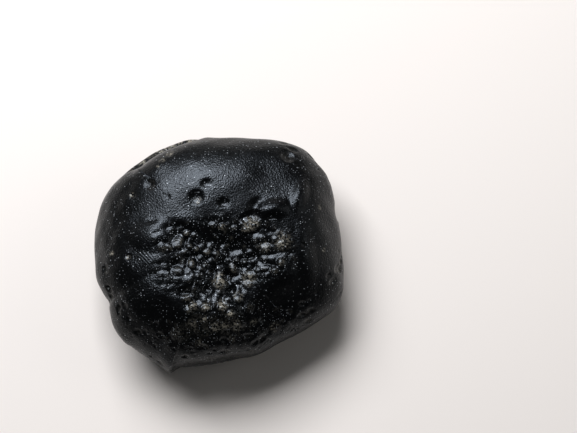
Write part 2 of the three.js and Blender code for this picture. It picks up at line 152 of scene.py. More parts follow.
# Lumps and short ridges of the pitted field: place, half lengths, turn, height
LUMPS = [
    ((-9.6, 2.7), (2.2, 1.5), 58, 0.6),
    ((-11.9, 1.4), (1.4, 1.2), 0, 0.5),
    ((-13.8, 1.0), (2.0, 1.6), 0, 0.5),
    ((-6.9, 1.8), (1.2, 1.0), 0, 0.45),
    ((-5.4, 1.1), (1.3, 1.1), 0, 0.45),
    ((-7.9, 0.5), (1.0, 0.9), 0, 0.4),
    ((-2.8, 0.4), (1.4, 1.2), 0, 0.55),
    ((-0.5, 0.1), (1.2, 1.1), 0, 0.5),
    ((-4.3, -0.8), (1.0, 0.8), 0, 0.3),
    ((-6.5, -2.3), (1.3, 1.6), 0, 0.6),
    ((-3.1, -2.6), (1.0, 1.0), 0, 0.4),
    ((-9.8, -4.0), (1.5, 1.3), 0, 0.55),
    ((-4.8, -5.1), (1.2, 1.1), 0, 0.4),
    ((-5.4, -6.7), (1.1, 1.0), 0, 0.3),
    ((0.4, -6.3), (2.9, 1.7), 88, 0.7),
    ((0.3, -9.0), (1.1, 1.0), 0, 0.4),
    ((-7.8, 4.9), (1.2, 1.0), 0, 0.7),
    ((8.6, 6.6), (1.7, 1.4), 20, 1.1),
    ((6.6, 5.7), (1.4, 1.2), 0, 0.9),
    ((7.3, 8.2), (1.3, 1.0), 0, 0.7),
    ((0.8, 6.3), (1.3, 1.2), 0, 0.8),
    ((10.5, 3.8), (1.1, 1.0), 0, 0.35),
    ((11.5, 1.2), (1.6, 1.4), 0, 0.45),
    ((13.8, 3.5), (1.1, 1.0), 0, 0.4),
    ((15.5, 2.1), (2.3, 1.6), 10, 0.5),
    ((17.1, 3.1), (1.0, 0.9), 0, 0.3),
    ((18.3, 3.2), (1.6, 0.8), 85, 0.3),
    ((15.3, -2.0), (1.3, 1.5), 0, 0.65),
    ((13.6, -4.2), (1.4, 1.2), 0, 0.6),
    ((9.4, -3.9), (0.9, 0.9), 0, 0.35),
    ((3.5, -3.4), (1.9, 1.2), -60, 0.6),
    ((2.2, -1.4), (1.0, 0.9), 0, 0.3),
    ((6.3, -1.9), (1.0, 0.9), 0, 0.4),
    ((4.3, -1.5), (0.9, 0.85), 0, 0.45),
    ((7.8, -5.0), (1.3, 1.2), 0, 0.5),
    ((7.3, -7.2), (1.5, 1.2), 30, 0.55),
    ((7.2, 0.6), (1.1, 0.9), 0, 0.25),
    ((4.8, 0.4), (1.2, 0.9), 0, 0.3),
    ((11.2, -1.0), (1.2, 1.0), 0, 0.35),
    ((16.0, -6.6), (1.9, 1.2), -32, 0.5),
    ((18.3, -1.2), (1.5, 1.3), 0, 0.5),
    ((18.4, -4.2), (1.4, 1.2), 0, 0.45),
    ((-7.9, -10.6), (1.7, 1.3), 0, 0.6),
    ((-6.1, -12.6), (1.3, 1.1), -30, 0.65),
    ((-7.4, -13.9), (1.1, 1.0), 0, 0.5),
    ((-3.2, -13.2), (1.3, 1.1), 0, 0.65),
    ((1.0, -12.9), (1.4, 1.1), -30, 0.7),
    ((3.1, -14.5), (1.4, 1.3), 0, 0.6),
    ((5.4, -14.8), (0.9, 0.8), 0, 0.3),
    ((7.6, -12.7), (1.9, 1.2), 55, 0.5),
    ((1.6, -17.5), (1.5, 0.8), 0, 0.35),
    ((4.9, -10.9), (1.1, 1.0), 0, 0.35),
    ((13.8, -17.8), (0.9, 2.0), -20, 0.3),
    ((9.6, -18.1), (1.0, 0.9), 0, 0.3),
    ((-4.0, -18.8), (1.1, 0.9), 0, 0.3),
    ((-11.5, 7.6), (1.2, 1.0), 0, 0.45),
]

# Smaller lumps between them, seeded on a grid: where the grid lies, how far apart they are and how
# far each is moved, as a share of that. Then their half breadths, how much longer they are, their
# heights, and the gap they keep to the inner share of a listed lump
LOOSE = {
    "across": (-21, 24), "away": (-25, 13), "spacing": 1.7, "moved": 0.4,
    "half": (0.85, 1.25), "stretch": (1, 1.5), "height": (0.1, 0.4), "gap": 0.45, "inner": 0.6,
}
FLOOR = -0.7             # the level of the floor between all these lumps
GROOVE = 0.09            # how soft the grooves between them are

# Bowl-shaped pits in the top: place, half lengths, turn, depth
TOP_PITS = [
    ((-5.3, 13.4), (2.1, 1.9), 0, 0.55),
    ((-2.8, 16.6), (1.7, 1.2), 5, 0.33),
    ((-12.2, 13.6), (0.8, 0.8), 0, 0.2),
    ((1.2, 12.1), (1.7, 1.2), 0, 0.4),
    ((8.0, 8.9), (2.7, 1.7), 20, 0.9),
    ((12.8, 8.9), (1.3, 0.9), 0, 0.4),
    ((-16.2, 8.1), (1.9, 1.1), 10, 0.2),
    ((-10.2, -2.2), (1.7, 1.4), 0, 0.25),
    ((-8.6, -9.0), (1.9, 1.3), 10, 0.5),
    ((2.9, -8.6), (1.7, 1.2), 40, 0.8),
    ((7.8, -0.3), (1.2, 0.9), 5, 0.3),
    ((1.8, -4.9), (0.7, 2.0), 5, 0.8),
    ((-1.3, -4.4), (0.9, 2.4), -5, 0.8),
    ((-8.2, 3.0), (0.6, 1.7), -20, 0.7),
    ((-3.4, -8.3), (1.8, 1.2), 10, 0.6),
    ((-20.9, 14.1), (0.8, 0.8), 0, 0.3),
    ((-21.8, -0.6), (0.8, 0.8), 0, 0.3),
]
BOWL_RIM = 0.03          # how soft the rim of any pit is
BOWL_REACH = 1.6         # in radii, how far a pit reaches
PIT_SEARCH = 1.7         # in radii, how far points are looked for round a pit of the sides

# Where the top is cobbled with small lumps: place, half lengths, turn, share
COBBLED = [
    ((3, 1), (17, 9.5), 0, 1), ((-0.5, -10.5), (9.5, 6.5), 0, 1), ((2, -18), (20, 7), 8, 0.8),
    ((-9, 3.5), (8, 4.5), 0, 0.8), ((-10.5, -5), (6.5, 5.5), 0, 0.6),
]
COBBLED_EDGE = (0.7, 1.05)    # the oval distances between which they fade out

# Where fine flow lines show in the glass: place, half lengths, turn
FLOW_PATCHES = [((-17, -0.8), (6, 3.8), -50), ((-13, 0.5), (4.5, 3.5), -40), ((7, 15), (7, 4), 60)]
FLOW_TURN = 40           # degrees from +X to the way across the flow lines

# Pits over the sides and the underside, on a spiral from the side wall downwards: the sines of the
# highest and lowest rise, the radii, the depth and the most extra length as shares of the radius,
# and the steps that spread the radii and the lengths
SIDE_PITS = {
    "count": 22, "highest": 0.55, "lowest": -0.93, "smallest": 0.8, "largest": 2.2,
    "depth": 0.42, "longer": 0.4, "radius step": 0.618034, "length step": 0.37,
}
GOLDEN_ANGLE = math.pi * (3 - math.sqrt(5))

# Seeded small pits: the oval of the top that stays free of them, the smallest radius and how far
# it grows, the depths as shares of the radius, and how much longer than broad they are
SMALL_PITS = {
    "free": ((-1, 6), (31, 23), 0), "smallest": 0.35, "growth": 0.75,
    "depth": (0.2, 0.5), "stretch": (1, 1.6),
}
PIT_SKEW = (0.3, 0.5, 0.81)   # a pit's length lies across this direction

# Steps in the edge: bearing, half width, the levels they are cut back between, how far back
LEDGES = {
    "upper left ledge": (119, 24, 0.4, 10, 1.6),
    "lip under the near edge": (265, 22, -2.2, 9, 0.7),
    "step, upper right": (38, 7, -3, 4, 0.6),
}
LEDGE_FOOT = 0.8         # how far above the lower level the whole cut is reached
LEDGE_FADE = 2           # how far above the lower level it starts to fade

# Pale clay and dust, with painted highlight in the same colour on the cobbles' tops: the most in a
# pit, the depth that holds this much, the levels between which it thins out upwards and by how
# much, and the most on the cobbles, with its share where their height is 0 and what each
# millimetre above that adds to the share, so that the tops of the lumps are painted palest
CLAY_AND_HIGHLIGHT = {
    "pit": 0.25, "full depth": 0.25, "levels": (1, 7), "thinned": 0.8,
    "cobbles": 0.32, "share at 0": 0.4, "share per mm": 2.5,
}

# Patches of clay in the larger pits and on the edge, some of them painted highlights on lumps and
# in a pit, and a faint painted glow over the near slope: place, reach, amount
CLAY_AND_HIGHLIGHT_PATCHES = [
    ((8.0, 7.3), 2.6, 0.6), ((15.6, 3.0), 3.0, 0.5), ((11.4, 1.7), 2.0, 0.4),
    ((7.2, -6.0), 2.4, 0.5), ((0.3, -6.4), 2.6, 0.5), ((3.0, -14.1), 0.9, 2.2),
    ((-6.3, -12.6), 1.8, 0.6), ((0.9, -12.2), 1.9, 0.6), ((4.9, -10.2), 1.6, 0.6),
    ((13.7, -17.8), 1.8, 0.5), ((-5.0, 12.8), 1.2, 0.8), ((-20.9, 14.1), 0.8, 1.2),
    ((-2.9, -12.5), 1.5, 0.5), ((1.5, -17.2), 1.5, 0.4), ((-4.6, -21.2), 1.5, 0.4),
    ((-11.4, 25.9), 1.5, 1.4), ((-9.4, 26.9), 1.2, 1.6), ((-6.8, 27.5), 1.6, 1.5),
    ((-14.2, 24.5), 2.0, 0.8), ((-12.6, 25.0), 1.0, 0.9), ((-8.0, 26.2), 1.4, 0.7),
    ((-5.0, 26.8), 1.2, 0.7), ((-16.4, 23.6), 1.3, 0.8), ((-4, -17.2), 4.5, 0.1),
    ((2.6, -16.6), 4.5, 0.1), ((-9.5, -19), 3.5, 0.12), ((4.6, -17.2), 2.0, 0.55),
    ((-0.8, -17.4), 1.6, 0.5), ((8.6, -16.4), 1.3, 0.4), ((-3.6, -15.6), 1.1, 0.5),
    ((-6.4, -16.8), 1.5, 0.3), ((3.4, -20.3), 1.4, 0.3), ((-9.8, 25.2), 1.6, 0.8),
    ((-7.6, 25.8), 1.3, 0.7), ((-11.8, 24.0), 1.5, 0.7), ((-13.6, 22.4), 1.2, 0.4),
    ((24.6, 11.1), 0.9, 0.9), ((25.5, 0.9), 0.8, 0.9), ((-25.9, 0.1), 0.9, 1.0),
    ((-21.8, -1.0), 0.8, 0.9), ((-18.3, 22.2), 2.2, 0.8), ((-21.3, 20.3), 1.6, 0.7),
    ((-14.8, 20.9), 0.6, 1.2),
]


# ---- Helpers ----


def linear(hex_colour):
    """An sRGB hex colour as linear red, green, blue and alpha, by the sRGB curve."""
    parts = [int(hex_colour[i:i + 2], 16) / 255 for i in (1, 3, 5)]
    return [c / 12.92 if c <= 0.04045 else ((c + 0.055) / 1.055) ** 2.4 for c in parts] + [1.0]


def unit(bearing, rise):
    """The unit vector that faces a bearing and a rise in degrees."""
    b, r = math.radians(bearing), math.radians(rise)
    return np.array([math.cos(r) * math.cos(b), math.cos(r) * math.sin(b), math.sin(r)])


def smoothstep(value, low, high):
    """0 below low and 1 above high, joined by the cubic 3t^2 - 2t^3."""
    t = np.clip((value - low) / (high - low), 0, 1)
    return t * t * (3 - 2 * t)


# ---- The body's surface ----


def closed_curve(points, steps):
    """Points on a uniform Catmull-Rom curve: on each span, the cubic through its two ends whose
    slope at each end is half the chord between the neighbours of that end."""
    p = np.array(points, dtype=float)
    before, start, end, after = (np.roll(p, shift, axis=0)[:, None] for shift in (1, 0, -1, -2))
    t = np.linspace(0, 1, steps, endpoint=False)[None, :, None]
    bend = 2 * before - 5 * start + 4 * end - after + t * (3 * (start - end) + after - before)
    return (start + 0.5 * t * (end - before + t * bend)).reshape(-1, 2)


def outline_radius(x, y):
    """The outline's distance from the middle at the bearing of each x, y."""
    curve = closed_curve(OUTLINE, OUTLINE_STEPS)
    angles = np.arctan2(curve[:, 1], curve[:, 0]) % (2 * math.pi)
    order = np.argsort(angles)
    radii = np.hypot(curve[:, 0], curve[:, 1])
    bearing = np.arctan2(y, x) % (2 * math.pi)
    return np.interp(bearing, angles[order], radii[order], period=2 * math.pi)


def body_reach(direction):
    """Distance from the middle to the body along each direction d. The round body gives
    ((plan / outline)^n + (|z| / height)^n)^(1/n), each soft face gives n.d / distance, and the
    reach is one over the power mean of them all, so that every edge between them is rounded."""
    above = direction[:, 2] > 0
    power = np.where(above, CROWN_ROUNDNESS, BELLY_ROUNDNESS)
    x, y, z = direction.T
    plan = np.hypot(x, y) / outline_radius(x, y)
    tall = np.abs(z) / np.where(above, CROWN, BELLY)
    total = (plan ** power + tall ** power) ** (EDGE_SHARPNESS / power)
    for bearing, rise, distance in FACES.values():
        total += np.maximum(direction @ unit(bearing, rise) / distance, 0) ** EDGE_SHARPNESS
    return total ** (-1 / EDGE_SHARPNESS)


def body_points(direction):
    """Points of the body along each direction. They are stretched in plan by the outline over the
    reach at the widest level, so that this level has the outline exactly."""
    level = direction * (1, 1, 0)
    level /= np.maximum(np.linalg.norm(level, axis=1, keepdims=True), 1e-9)
    stretch = outline_radius(level[:, 0], level[:, 1]) / body_reach(level)
    points = direction * body_reach(direction)[:, None]
    points[:, :2] *= stretch[:, None]
    return points


def square_to_disc(a, b):
    """Carries the square -1..1 to the unit disc ring by ring: the larger of |a| and |b| is the
    radius, and the place along the square's side is the bearing."""
    wide = np.abs(a) >= np.abs(b)
    main = np.where(wide, a, b)
    share = np.divide(np.where(wide, b, a), main, out=np.zeros_like(a), where=main != 0)
    angle = np.where(wide, share * math.pi / 4, math.pi / 2 - share * math.pi / 4)
    return np.abs(main), angle + np.where(main < 0, math.pi, 0)


def sheet_directions(cells, side):
    """Directions from the middle for one half of the stone, on a square grid carried to a disc.
    The disc's radius s turns into the angle (pi/2)(c s + (1 - c) s^3) from the pole of a flat
    ellipsoid, so that triangles are near even in size and a little closer near the pole."""
    a, b = np.meshgrid(np.linspace(-1, 1, cells + 1), np.linspace(-1, 1, cells + 1), indexing="ij")
    s, bearing = square_to_disc(a.ravel(), b.ravel())
    angle = math.pi / 2 * (CLOSER_IN_MIDDLE * s + (1 - CLOSER_IN_MIDDLE) * s ** 3)
    flat = HALF_BREADTH * np.sin(angle)
    up = side * (CROWN if side > 0 else BELLY) * np.cos(angle)
    vectors = np.stack([flat * np.cos(bearing), flat * np.sin(bearing), up], axis=1)
    return vectors / np.linalg.norm(vectors, axis=1, keepdims=True)


def oval_distance(x, y, at, half, turn):
    """Distance from the middle of an oval in plan: 0 in the middle, 1 on its edge."""
    cos, sin = math.cos(math.radians(turn)), math.sin(math.radians(turn))
    along = ((x - at[0]) * cos + (y - at[1]) * sin) / half[0]
    across = ((y - at[1]) * cos - (x - at[0]) * sin) / half[1]
    return np.hypot(along, across)


def mound(distance):
    """A smooth mound, (1 - d^2)^2 inside the oval and nothing outside."""
    return np.maximum(1 - distance ** 2, 0) ** 2


def bowl(distance):
    """A round-bottomed bowl, b = 1 - d^2, cut off at its rim by the soft maximum of it and zero,
    (b + sqrt(b^2 + softness)) / 2, which is next to nothing well outside and is dropped there."""
    inside = 1 - distance ** 2
    soft = 0.5 * (inside + np.sqrt(inside ** 2 + BOWL_RIM))
    return np.where(distance < BOWL_REACH, soft, 0)


def unevenness(x, y, z):
    """The sum of the slow waves, each a height times sin(a x + b y + c z + offset) times a second
    such sine."""
    total = np.zeros_like(x)
    for height, *pair in WAVES:
        sines = [np.sin(a * x + b * y + c * z + offset) for a, b, c, offset in pair]
        total += height * np.prod(sines, axis=0)
    return total


def edge_cut(x, y, z):
    """How far the ledges cut the edge back: a smooth step up and down in bearing times one up and
    down in level."""
    bearing = np.degrees(np.arctan2(y, x))
    cut = np.zeros_like(x)
    for centre, half, low, high, back in LEDGES.values():
        away = np.abs((bearing - centre + 540) % 360 - 180)
        beside = 1 - smoothstep(away, 0.5 * half, half)
        foot = smoothstep(z, low, low + LEDGE_FOOT)
        cut += back * beside * foot * (1 - smoothstep(z, low + LEDGE_FADE, high))
    return cut


def seen_place(x, y, z):
    """Where a point lies as seen by the eye, on the plane through the stone's middle. A point that
    is n nearer than this plane is seen distance / (distance - n) as far from the line of sight."""
    nearer = z * math.sin(VIEW_RISE) - y * math.cos(VIEW_RISE)
    above = y * math.sin(VIEW_RISE) + z * math.cos(VIEW_RISE)
    spread = VIEW_DISTANCE / (VIEW_DISTANCE - nearer)
    across, up = VIEW_AXIS
    return across + (x - across) * spread, up + (above - up) * spread


def cobbled_share(x, y):
    """The largest share among the cobbled ovals, each fading to 0 at its edge by a smooth step."""
    shares = [share * (1 - smoothstep(oval_distance(x, y, at, half, turn), *COBBLED_EDGE))
              for at, half, turn, share in COBBLED]
    return np.max(shares, axis=0)


def loose_lumps():
    """Small lumps on a jittered grid, as place, half lengths, turn and height, wherever no listed
    lump is near."""
    random = np.random.default_rng(SEED)
    lumps = []
    for y in np.arange(*LOOSE["away"], LOOSE["spacing"]):
        for x in np.arange(*LOOSE["across"], LOOSE["spacing"]):
            shift = random.uniform(-LOOSE["moved"], LOOSE["moved"], 2) * LOOSE["spacing"]
            place = np.array([x, y]) + shift
            size = random.uniform(*LOOSE["half"])
            stretch = random.uniform(*LOOSE["stretch"])
            turn = random.uniform(0, 180)
            gap = min(math.dist(place, at) - LOOSE["inner"] * max(half) for at, half, _, _ in LUMPS)
            if gap > LOOSE["gap"]:
                height = random.uniform(*LOOSE["height"])
                lumps.append((place, (size * stretch, size), turn, height))
    return lumps


def cobbles(x, y):
    """Height of all the lumps in millimetres, 0 on the tallest seeded one. Each is a dome,
    h (1 - d^2) at the oval distance d, and where they meet the soft maximum of all of them,
    w log(sum(exp(height / w))), leaves a soft groove. The floor under them is level."""
    total = np.full_like(x, math.exp(FLOOR / GROOVE))
    for at, half, turn, rise in LUMPS + loose_lumps():
        total += np.exp(rise * (1 - oval_distance(x, y, at, half, turn) ** 2) / GROOVE)
    return GROOVE * np.log(total) - LOOSE["height"][1]


def flow_share(x, y):
    """1 in the middle of the patches of flow lines, fading to 0 at their edges as a mound does."""
    return np.max([mound(oval_distance(x, y, *oval)) for oval in FLOW_PATCHES], axis=0)


def top_relief(x, y, settings):
    """Height added to the top at each x, y: the sum of the broad forms as mounds, less the pits as
    bowls, and the cobbles wherever the top is cobbled."""
    height = np.zeros_like(x)
    for at, half, turn, rise in TOP_FORMS.values():
        height += rise * mound(oval_distance(x, y, at, half, turn))
    for at, half, turn, depth in TOP_PITS:
        height -= depth * bowl(oval_distance(x, y, at, half, turn))
    return height + settings.lump_scale * cobbled_share(x, y) * cobbles(x, y)


def vertex_normals(points, faces):
    """The mean of the normals of the faces round each point, each weighted by its face's area."""
    a, b, c = (points[faces[:, i]] for i in range(3))
    face_normals = np.cross(b - a, c - a)
    normals = np.zeros_like(points)
    for corner in range(3):
        np.add.at(normals, faces[:, corner], face_normals)
    return normals / np.maximum(np.linalg.norm(normals, axis=1, keepdims=True), 1e-12)


def sink_pits(points, normals, pits):
    """How deep each point sinks, against its normal, for pits given as place, radius, depth and
    length ratio. Each is a bowl over the plane through its place that faces as the surface does."""
    sunk = np.zeros(len(points))
    for place, radius, depth, length in pits:
        offset = points - place
        near = np.flatnonzero((offset ** 2).sum(axis=1) < (PIT_SEARCH * radius * length) ** 2)
        if near.size == 0:
            continue
        nearest = near[np.argmin((offset[near] ** 2).sum(axis=1))]
        outward = normals[nearest]
        side = np.cross(outward, PIT_SKEW)
        side /= np.linalg.norm(side)
        flat = offset[near] - np.outer(offset[near] @ outward, outward)
        along = flat @ side / (radius * length)
        across = flat @ np.cross(outward, side) / radius
        sunk[near] += depth * bowl(np.hypot(along, across))
    return sunk


def side_pits():
    """The larger pits of the sides and the underside, as place, radius, depth and length ratio.
    They stand on a golden spiral: the sine of the rise goes down in even steps, and the bearing
    turns by the golden angle each time."""
    index = np.arange(SIDE_PITS["count"])
    highest, lowest = SIDE_PITS["highest"], SIDE_PITS["lowest"]
    level = highest + (lowest - highest) * (index + 0.5) / len(index)
    flat = np.sqrt(1 - level ** 2)
    angle = index * GOLDEN_ANGLE
    directions = np.stack([flat * np.cos(angle), flat * np.sin(angle), level], axis=1)
    spread = ((index * SIDE_PITS["radius step"]) % 1) ** 2
    radii = SIDE_PITS["smallest"] + (SIDE_PITS["largest"] - SIDE_PITS["smallest"]) * spread
    lengths = 1 + SIDE_PITS["longer"] * ((index * SIDE_PITS["length step"]) % 1)
    return zip(body_points(directions), radii, radii * SIDE_PITS["depth"], lengths)


def small_pits(points, count):
    """Seeded small pits round the sides, underneath and on the near part of the top, as place,
    radius, depth and length ratio. The radius grows with the cube of a random share, so that most
    of them are small."""
    random = np.random.default_rng(SEED + 1)
    outside = oval_distance(*seen_place(*points.T), *SMALL_PITS["free"]) > 1
    pitted = np.flatnonzero((points[:, 2] < 0) | outside)
    chosen = pitted[random.integers(0, len(pitted), count)]
    radii = SMALL_PITS["smallest"] + SMALL_PITS["growth"] * random.random(count) ** 3
    depths = radii * random.uniform(*SMALL_PITS["depth"], count)
    lengths = random.uniform(*SMALL_PITS["stretch"], count)
    return zip(points[chosen], radii, depths, lengths)


def sheet_faces(index):
    """Two triangles in each cell of a square grid of point numbers, facing up."""
    a, b, c, d = index[:-1, :-1], index[1:, :-1], index[1:, 1:], index[:-1, 1:]
    return np.concatenate([
        np.stack([a, b, c], axis=-1).reshape(-1, 3),
        np.stack([a, c, d], axis=-1).reshape(-1, 3),
    ])


def border(index):
    """The point numbers round the border of a square grid, in order."""
    return np.concatenate([index[:-1, 0], index[-1, :-1], index[:0:-1, -1], index[0, :0:-1]])


def closed_faces(cells):
    """Faces of the upper grid, of 2 * cells, and the lower grid, of cells. They share the border
    points of the lower grid, and a thin triangle closes the gap at each border point between."""
    upper = np.arange((2 * cells + 1) ** 2).reshape(2 * cells + 1, -1)
    lower = np.arange((cells + 1) ** 2).reshape(cells + 1, -1) + upper.size
    inside = np.zeros(lower.shape, dtype=bool)
    inside[1:-1, 1:-1] = True
    lower = np.where(inside, lower, upper[::2, ::2])
    ring = border(upper)
    gaps = np.stack([ring[0::2], np.roll(ring, -2)[0::2], ring[1::2]], axis=-1)
    faces = np.concatenate([sheet_faces(upper), sheet_faces(lower)[:, ::-1], gaps])
    used, packed = np.unique(faces, return_inverse=True)
    return used, packed.reshape(-1, 3)


def stone_surface(settings):
    """The finished stone: points in metres, faces, and how much clay and painted highlight, gloss
    and flow lines each point has. The body is made uneven and cut back at its ledges, its top gets
    its relief, every pit is sunk along the normals, and the underside is worn flat."""
    cells = settings.half_grid_cells
    directions = np.concatenate([sheet_directions(2 * cells, 1), sheet_directions(cells, -1)])
    used, faces = closed_faces(cells)
    directions = directions[used]
    points = body_points(directions)
    points += directions * (unevenness(*points.T) - edge_cut(*points.T))[:, None]
    relief = top_relief(*seen_place(*points.T), settings)
    points[:, 2] += relief * smoothstep(points[:, 2], *RELIEF_LEVELS)
    normals = vertex_normals(points, faces)
    sunk = sink_pits(points, normals, side_pits())
    sunk += sink_pits(points, normals, small_pits(points, settings.small_pit_count))
    points -= normals * sunk[:, None]
    points[:, 2] = np.maximum(points[:, 2], -KEEL)
    x, y = seen_place(*points.T)
    on_top = points[:, 2] > 0
    bowls = [bowl(oval_distance(x, y, at, half, turn)) for at, half, turn, _ in TOP_PITS]
    amounts = {
        "clay_and_highlight": clay_and_highlight_amount(points, sunk),
        "gloss": np.maximum(cobbled_share(x, y), np.max(bowls, axis=0)) * on_top,
        "flow": flow_share(x, y) * on_top,
    }
    return fit_to_box(points), faces, amounts


def clay_and_highlight_amount(points, sunk):
    """How much clay and dust, and painted highlight in the same pale colour, sits at each point:
    the sum of what the sunk pits hold, the painted highlight on the cobbles' tops, and mounds of it
    round the listed places, partly clay and partly painted highlight."""
    thinned = 1 - CLAY_AND_HIGHLIGHT["thinned"] * smoothstep(points[:, 2], *CLAY_AND_HIGHLIGHT["levels"])
    amount = CLAY_AND_HIGHLIGHT["pit"] * np.clip(sunk / CLAY_AND_HIGHLIGHT["full depth"], 0, 1) * thinned
    on_top = points[:, 2] > 0
    x, y = seen_place(*points.T)
    # Painted highlight: the higher a cobble stands, the more of the pale colour its top gets
    share = np.clip(CLAY_AND_HIGHLIGHT["share at 0"] + CLAY_AND_HIGHLIGHT["share per mm"] * cobbles(x, y), 0, 1)
    amount += CLAY_AND_HIGHLIGHT["cobbles"] * on_top * cobbled_share(x, y) * share
    for at, reach, strength in CLAY_AND_HIGHLIGHT_PATCHES:
        middle = points[np.argmin(np.where(on_top, np.hypot(x - at[0], y - at[1]), np.inf))]
        amount += strength * mound(np.linalg.norm(points - middle, axis=1) / reach)
    return amount


def fit_to_box(points):
    """Scales and moves the points so that they fill the CAD node's box exactly."""
    low, high = (np.array(corner) for corner in STONE_BOX)
    span = points.max(axis=0) - points.min(axis=0)
    return low + (points - points.min(axis=0)) * (high - low) / span


# ---- Materials ----

GLASS_COLOUR = "#060606"
# The clay colour also paints highlights on the hollow's lumps
CLAY_AND_HIGHLIGHT_COLOUR = "#9b9587"
DUST_AND_GLINT_COLOUR = "#d6dadc"      # the pin-point specks: partly pale dust, partly painted glints off the micro-pits

# Sizes of the patterns in the glass's skin, in millimetres
MICRO_PIT = 0.38
SPECK = 0.4                  # how far apart they could stand
FLECK = 0.5                  # what the clay and its painted highlight are broken up into
GRAIN = 0.8                  # orange-peel grain
ETCHED_PATCH = 6
FLOW_SPACING = 0.6

# Depths of the patterns that are only bump, in millimetres
MICRO_PIT_DEPTH = 0.058
GRAIN_DEPTH = 0.05
FLOW_DEPTH = 0.024

HOLLOW_SPECKS = 0.35         # how much larger the share of specks is in the hollow
SPECK_REACH = (0.28, 0.52)   # as a share of their spacing
SPECK_SHINE = 0.3            # how metallic the brightest one is, so that it glints
ETCHED_ROUGHNESS = (0.28, 0.35)
SMOOTH_ROUGHNESS = 0.25      # in the hollow
SMOOTH_ETCHING = 0.55        # how much of the bump is left in the hollow and on flow lines


def add_node(tree, kind, settings=None, inputs=None):
    """Adds a node, sets its properties, and sets or links its inputs."""
    node = tree.nodes.new(kind)
    for name, value in (settings or {}).items():
        setattr(node, name, value)
    for name, value in (inputs or {}).items():
        if isinstance(value, bpy.types.NodeSocket):
            tree.links.new(value, node.inputs[name])
        else:
            node.inputs[name].default_value = value
    return node


